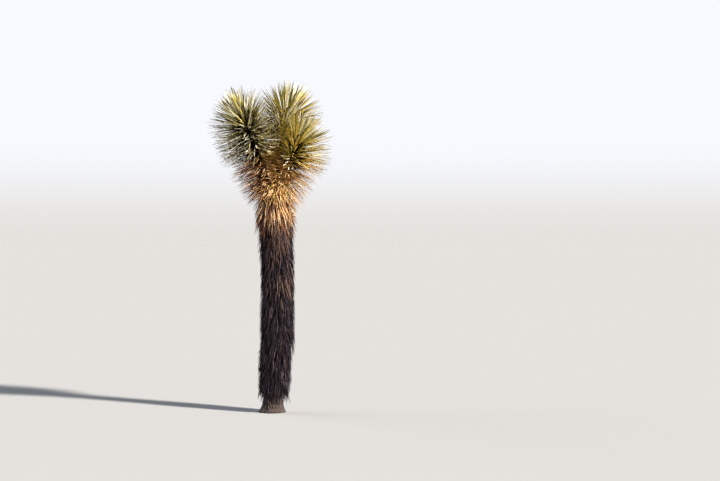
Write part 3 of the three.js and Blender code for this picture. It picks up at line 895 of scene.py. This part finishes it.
class TREE_OT_bark(Operator):
    """Grow the bark of the trunk and the boughs"""

    bl_idname = "tree.bark"
    bl_label = "Bark"

    def execute(self, context):
        tree = context.scene.tree
        random = np.random.default_rng(SEED)
        material = bark_material()
        self.trunk(tree, material, random)
        for name in BOUGH_NAMES:
            self.bough(tree, material, name, random)
        return {"FINISHED"}

    def trunk(self, tree, material, random):
        """The trunk from the flat cut to its rounded top. Its rings are closest at the bare foot."""
        fine_height, fine_step, coarse_step, around = 0.36, 3.5 * MM, 30 * MM, 200
        top_rings, lobe_depth = 4, 0.25
        trunk, bark = tree.trunk, tree.bark
        fine = np.arange(0, fine_height, fine_step)
        coarse = np.arange(fine_height, trunk.fork_height, coarse_step)
        heights = np.concatenate([fine, coarse, [trunk.fork_height]])
        stands, leans = plate_relief(random, trunk.foot_radius, trunk.fork_height, heights, around)
        turn = np.linspace(0, 2 * math.pi, around, endpoint=False)
        lobes = lobe_depth * np.sin(5 * turn + 0.7) * np.sin(2 * turn + 2.1)
        radii = trunk_radius(heights)[:, None] + root_flare(heights)[:, None] * lobes
        radii += (stands - 1) * bark.furrow_depth + leans * bark.lean * stands
        radii += draw(random, bark.crumbs, radii.shape)
        dome = np.linspace(0, math.pi / 2, top_rings + 2)[1:-1]
        radii = np.concatenate([radii, np.cos(dome)[:, None] * radii[-1]])
        stands = np.concatenate([stands, np.repeat(stands[-1:], top_rings, axis=0)])
        centres = trunk_middle(np.append(heights, [trunk.fork_height] * top_rings))
        centres[-top_rings:, 2] += trunk.crown * np.sin(dome)
        place = SimpleNamespace(point=centres, side=np.array([(1, 0, 0)]), front=np.array([(0, 1, 0)]))
        made = bark_tube("trunk_bark", place, radii, stands, material)
        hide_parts("trunk")

    def bough(self, tree, material, name, random):
        """A bough from inside the trunk to its growing tip. Its furrows are shallower than the trunk's."""
        around, step, off_tip, shallowness = 56, 12 * MM, 2 * MM, 0.5
        line = bough_line(name)
        along = np.arange(0, line.length - off_tip, step)
        stands, _ = plate_relief(random, tree.trunk.bough_radius, line.length, along, around)
        furrows = (stands - 1) * tree.bark.furrow_depth * shallowness
        radii = bough_radius(along, line.length)[:, None] + furrows
        made = bark_tube(f"bough_{name}_bark", line.frame(along), radii, stands, material)
        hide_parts(f"bough_{name}")


# Leaves of each mass

def other_limbs(tree, name, lines):
    """The other boughs, as points and the radii round them that this bough's leaves keep out of."""
    points, limbs = 24, []
    for other in BOUGH_NAMES:
        if other != name:
            line = lines[other]
            along = np.linspace(0, line.length, points)
            limbs.append((line.at(along), bough_radius(along, line.length) + tree.coat.collar_wall))
    return limbs


def bough_stem(line, start, end, wall_at, crowding=1, neck=1):
    """The stretch of a bough that bears one kind of leaves, from its upper end to its lower end."""
    return SimpleNamespace(
        line=line, start=start, end=end, tip_at=line.length, fork_at=0, crowding=crowding, neck=neck,
        wall_at=wall_at, radius_at=lambda along: bough_radius(along, line.length),
    )


def trunk_leaves(tree, random, node_name, foot, top, kind, count):
    """The hanging leaves of a stretch of the trunk."""
    line = trunk_line()
    in_box = inside_box(node_name)
    margin = tree.coat.end_margin / 2
    stem = SimpleNamespace(
        line=line, start=top - margin, end=foot + margin, tip_at=OLD_AGE, fork_at=line.length, crowding=1,
        neck=1, wall_at=sleeve_wall, radius_at=trunk_radius,
    )

    def in_space(surface, tip):
        return in_box(tip) & (tip[:, 2] > tree.coat.lowest_tip)

    return grow(random, stem, kind, count, in_space)


class TREE_OT_heads(Operator):
    """Grow the green leaves round the end of each bough"""

    bl_idname = "tree.heads"
    bl_label = "Green heads"

    def execute(self, context):
        tree = context.scene.tree
        lines = {name: bough_line(name) for name in BOUGH_NAMES}
        green_points = {name: self.green_points(tree, name, line) for name, line in lines.items()}
        every_point = np.concatenate(list(green_points.values()))
        for number, name in enumerate(BOUGH_NAMES):
            self.head(tree, name, lines, green_points[name], every_point, number)
        return {"FINISHED"}

    def green_points(self, tree, name, line):
        """Points along the green end of a bough."""
        points = 5
        return line.at(np.linspace(line.length - getattr(tree, name).green, line.length, points))

    def head(self, tree, name, lines, own_points, every_point, number):
        """The leaves of one bough. They keep to the space nearest to their own stem."""
        random = np.random.default_rng(SEED + 10 + number)
        off_tip, off_green_end = 3 * MM, 10 * MM
        line, green = lines[name], getattr(tree, name).green
        stem = bough_stem(
            line, start=line.length - off_tip, end=line.length - green + off_green_end,
            wall_at=lambda along: along * 0, crowding=tree.habit.crowding,
        )
        others = other_limbs(tree, name, lines)
        in_box = inside_box(f"head_{name}")

        def in_space(surface, tip):
            own = nearest(own_points, tip) < nearest(every_point, tip) + tree.habit.shared_space
            return own & in_box(tip) & clear_of(others, surface, tip)

        leaves = grow(random, stem, tree.green, getattr(tree.counts, f"head_{name}"), in_space)
        # The left head keeps pale margins; the others take the sunlit yellow on theirs, as painted sunlight
        margin = "green_margin" if name == "left" else "green_yellow"
        parts = {"margin": margin, "base": "green_base", "spine": "green_spine"}
        leaf_piece(
            random, f"head_{name}", GREEN_BLADE, leaves, tree.green,
            self.shares(leaves, name, green), sink=18 * MM, lower=PAINTED_SHADE_TINTS, parts=parts,
        )

    def shares(self, leaves, name, green):
        """How likely each tint is for each leaf, by its age, its side and how far it droops."""
        young_age = 0.09
        whitish, painted_sun, painted_shade, yellow, pale = HEAD_LOOKS[name]
        young = np.exp(-leaves.age / young_age)
        old = ramp(leaves.age / green, start=0.58, span=0.45)
        # How far a leaf faces the key lamp; the tints dealt by it paint sunlight
        sun = 0.5 + 0.5 * leaves.outward[:, 0]
        to_middle = 1 if name == "left" else -1
        # Leaves facing the middle, where the other heads shade them, take deeper tints as painted shade
        inner_shade = smooth(to_middle * leaves.outward[:, 0]) * (1 - young)
        drooping = ramp(leaves.surface[:, 2] - leaves.tip[:, 2], start=0, span=0.12)
        # Old and drooping leaves pale, and more so on the key lamp's side as painted sunlight
        pale_and_sunlit = pale * sun**3 * (old**2 + 1.5 * drooping)
        return {
            "green_cream": whitish * (1 - 0.8 * inner_shade) + old * (0.1 + 1.3 * sun**3) + pale_and_sunlit,
            "green_cool": 0.3 * whitish * (1 - inner_shade) + 0.5 * young,
            "green_olive": 0.8 + 1.5 * inner_shade,
            "green_yellow": 0.1 + painted_sun * sun,
            "green_deep": painted_shade,
            "green_old": 0.1 + yellow * (0.15 + 1.2 * old),
            "straw_gold": 0.9 * yellow * old**2,
            "straw_pale": pale_and_sunlit,
        }


class TREE_OT_collar(Operator):
    """Grow the brown leaves round the boughs, below the green"""

    bl_idname = "tree.collar"
    bl_label = "Brown collar"

    def execute(self, context):
        tree = context.scene.tree
        random = np.random.default_rng(SEED + 20)
        lines = {name: bough_line(name) for name in BOUGH_NAMES}
        leaves = joined([self.arm(tree, random, name, lines) for name in BOUGH_NAMES])
        # Gold on the right: partly the straw's colour, partly painted sunlight; more umber on the left:
        # painted shade
        gold_and_sunlit = ramp(leaves.tip[:, 0], start=-0.16, span=0.18)
        # Near the green the right arm stays olive, with sunlit yellow among it as painted sunlight
        high = gold_and_sunlit * ramp(leaves.surface[:, 2], start=2.08, span=0.12)
        low = 1 - 0.75 * high
        shares = {
            "green_olive": 2 * high,
            "green_yellow": high + 0.5 * gold_and_sunlit,
            "green_old": 1.6 * high + 0.7 * gold_and_sunlit,
            "green_deep": 0.2 * high,
            "straw_pale": (0.3 + 1.3 * gold_and_sunlit) * low,
            "straw_gold": (0.3 + 1.1 * gold_and_sunlit) * low,
            "straw_tan": (0.6 - 0.2 * gold_and_sunlit) * low,
            "straw_rust": (0.8 - 0.65 * gold_and_sunlit) * low,
            "straw_umber": 1 - 0.5 * gold_and_sunlit,
        }
        leaf_piece(
            random, "collar", DEAD_BLADE, leaves, tree.straw, shares,
            root_angle=math.radians(140),
        )
        return {"FINISHED"}

    def arm(self, tree, random, name, lines):
        """The leaves round one bough, from its green end down to the fork."""
        off_green = 6 * MM
        line = lines[name]
        end = line.length - getattr(tree, name).green
        others = other_limbs(tree, name, lines)
        in_box = inside_box("collar")

        def wall_at(along):
            return mix(tree.coat.neck_wall, tree.coat.collar_wall, along / end)

        def in_space(surface, tip):
            return in_box(tip) & clear_of(others, surface, tip)

        stem = bough_stem(
            line, start=end - off_green, end=tree.coat.end_margin, wall_at=wall_at,
            neck=getattr(tree, name).neck,
        )
        return grow(random, stem, tree.straw, getattr(tree.counts, f"collar_{name}"), in_space)


class TREE_OT_skirt(Operator):
    """Grow the straw-coloured leaves that hang below the fork"""

    bl_idname = "tree.skirt"
    bl_label = "Straw skirt"

    def execute(self, context):
        tree = context.scene.tree
        random = np.random.default_rng(SEED + 30)
        coat = tree.coat
        leaves = trunk_leaves(
            tree, random, "straw_skirt", coat.skirt_foot, coat.skirt_top, tree.straw, tree.counts.skirt
        )
        up = cap((leaves.surface[:, 2] - coat.skirt_foot) / (coat.skirt_top - coat.skirt_foot))
        # Painted sunlight and shade: the fresh straw at the top is paler on the key lamp's side
        in_shade = 0.25
        lit = mix(in_shade, 1, ramp(leaves.tip[:, 0], start=-0.08, span=0.14))
        fresh_and_sunlit = ramp(up, start=0.6, span=0.34) * lit
        brown = 1 - ramp(up, start=0.65, span=0.35)
        grey = 1 - ramp(up, start=0.3, span=0.34)
        shares = {
            "straw_pale": 1.7 * fresh_and_sunlit,
            "straw_gold": 0.8 * fresh_and_sunlit,
            "straw_tan": 0.35 + 0.5 * fresh_and_sunlit - 0.35 * grey,
            "straw_rust": 0.7 + 0.6 * brown - 1.2 * grey,
            # Umber leaves all through the skirt paint the shade in its gaps
            "straw_umber": 1.4 + 0.3 * brown,
            "thatch_tan": 0.9 * grey,
            "thatch_brown": 0.1 + 2.2 * grey,
            "thatch_grey": 1.6 * grey,
        }
        leaf_piece(
            random, "straw_skirt", DEAD_BLADE, leaves, tree.straw, shares,
            root_angle=math.radians(125),
        )
        return {"FINISHED"}


class TREE_OT_thatch(Operator):
    """Grow the grey leaves that hang round the trunk"""

    bl_idname = "tree.thatch"
    bl_label = "Grey thatch"

    def execute(self, context):
        tree = context.scene.tree
        coat = tree.coat
        faded_below, fade = 1.0, 0.5
        band = (coat.skirt_foot - coat.thatch_foot) / len(THATCH_NAMES)
        for number, name in enumerate(THATCH_NAMES):
            random = np.random.default_rng(SEED + 40 + number)
            top = coat.skirt_foot - number * band
            leaves = trunk_leaves(tree, random, name, top - band, top, tree.thatch, tree.counts.thatch)
            up = cap((leaves.surface[:, 2] - faded_below) / fade)
            rusty = self.rusty_tuft(leaves)
            shares = {
                "thatch_pale": 0.2 + 0.1 * leaves.tuft.clip(0),
                "thatch_grey": 0.6,
                "thatch_brown": 0.9,
                "thatch_dark": 0.8,
                "straw_umber": 0.15 + 0.3 * up + 2 * rusty,
                "thatch_tan": 0.1 * up + 2.4 * rusty,
            }
            leaf_piece(
                random, name, THATCH_BLADE, leaves, tree.thatch, shares,
                root_angle=math.radians(88),
            )
        return {"FINISHED"}

    def rusty_tuft(self, leaves):
        """How far each leaf belongs to the tuft on the front that is still the colour of rust."""
        height, half_height, side, half_width = 1.2, 0.05, 0.095, 0.03
        upright = (leaves.surface[:, 2] - height) / half_height
        across = (leaves.surface[:, 0] - side) / half_width
        return np.exp(-(upright**2) - across**2) * (leaves.outward[:, 1] < 0)


class TREE_OT_studio(Operator):
    """Set up the floor, the backdrop, the lamps and the camera"""

    bl_idname = "tree.studio"
    bl_label = "Studio"

    def execute(self, context):
        scene = context.scene
        studio = scene.tree.studio
        scene.view_settings.view_transform = "Standard"
        self.camera(scene, studio)
        self.floor(scene.tree.tints)
        self.backdrop(scene, studio)
        self.lamps(scene, studio)
        return {"FINISHED"}

    def camera(self, scene, studio):
        """A level camera that looks along +Y."""
        data = bpy.data.cameras.new("camera")
        data.lens, data.sensor_width, data.clip_end = studio.lens, studio.sensor, 2 * FLOOR_REACH
        made = bpy.data.objects.new("camera", data)
        made.location = (studio.eye_side, -studio.eye_back, studio.eye_height)
        made.rotation_euler = (math.pi / 2, 0, 0)
        scene.collection.objects.link(made)
        scene.camera = made

    def floor(self, tints):
        """A plain pale floor as far as the eye reaches."""
        material, shader = new_material("studio_floor")
        tree = material.node_tree
        seen = node(tree, "LightPath").outputs["Is Camera Ray"]
        colour = colour_mix(tree, seen, (*tints.floor_bounce, 1), (*tints.floor, 1))
        feed(shader, Base_Color=colour, Roughness=1, Specular_IOR_Level=0)
        corners = FLOOR_REACH * np.array(((-1, -1, 0), (1, -1, 0), (1, 1, 0), (-1, 1, 0)))
        made = mesh_object("studio_floor", corners, np.arange(4), np.array([4]), np.zeros(1), [material])

    def backdrop(self, scene, studio):
        """Near-white all round. It shows at full strength and lights the tree by less."""
        world = bpy.data.worlds.new("backdrop")
        scene.world = world
        world.use_nodes = True
        tree = world.node_tree
        place = node(tree, "TexCoord")
        up = node(tree, "SeparateXYZ", Vector=place.outputs["Generated"]).outputs["Z"]
        rise = node(tree, "MapRange", interpolation_type="SMOOTHSTEP", Value=up, From_Max=studio.haze_top)
        haze, sky = (*scene.tree.tints.haze, 1), (*studio.sky_colour, 1)
        seen = node(tree, "LightPath").outputs["Is Camera Ray"]
        strength = node(tree, "MapRange", Value=seen, To_Min=studio.sky_light, To_Max=1.0)
        light = next(n for n in tree.nodes if n.type == "BACKGROUND")
        colour = colour_mix(tree, rise.outputs["Result"], haze, sky)
        feed(light, Color=colour, Strength=strength.outputs["Result"])

    def lamps(self, scene, studio):
        """A warm key lamp and a wide cool fill lamp, both far enough away to light the floor evenly."""
        settings = ("strength", "turn", "height", "size", "colour")
        for name in ("key", "fill"):
            strength, turn, height, size, colour = (getattr(studio, f"{name}_{part}") for part in settings)
            data = bpy.data.lights.new(f"{name}_lamp", "SUN")
            data.energy, data.angle, data.color = strength, size, colour
            made = bpy.data.objects.new(f"{name}_lamp", data)
            made.rotation_euler = (0, math.pi / 2 - height, turn)
            scene.collection.objects.link(made)


class TREE_PT_panel(Panel):
    """Sizes, colours and steps of the tree"""

    bl_idname = "TREE_PT_panel"
    bl_label = "Young Tree Yucca"
    bl_space_type = "VIEW_3D"
    bl_region_type = "UI"
    bl_category = "Tree"

    def draw(self, context):
        settings = context.scene.tree
        for name, group in SIZE_GROUPS.items():
            box = self.layout.box()
            box.label(text=name.replace("_", " ").capitalize())
            for prop in group.__annotations__:
                box.prop(getattr(settings, name), prop)
        for step in STEPS:
            self.layout.operator(step.bl_idname)


STEPS = (TREE_OT_studio, TREE_OT_bark, TREE_OT_heads, TREE_OT_collar, TREE_OT_skirt, TREE_OT_thatch)
CLASSES = (*SIZE_GROUPS.values(), TreeSettings, *STEPS, TREE_PT_panel)


def register():
    """Registers the property groups, the steps and the panel."""
    for kind in CLASSES:
        bpy.utils.register_class(kind)
    bpy.types.Scene.tree = PointerProperty(type=TreeSettings)


def unregister():
    """Takes them away again."""
    del bpy.types.Scene.tree
    for kind in reversed(CLASSES):
        bpy.utils.unregister_class(kind)


def main():
    """Grows the tree in its studio and writes both boxes."""
    register()
    bpy.ops.tree.studio()
    bpy.ops.tree.bark()
    bpy.ops.tree.heads()
    bpy.ops.tree.collar()
    bpy.ops.tree.skirt()
    bpy.ops.tree.thatch()


if __name__ == "__main__":
    main()
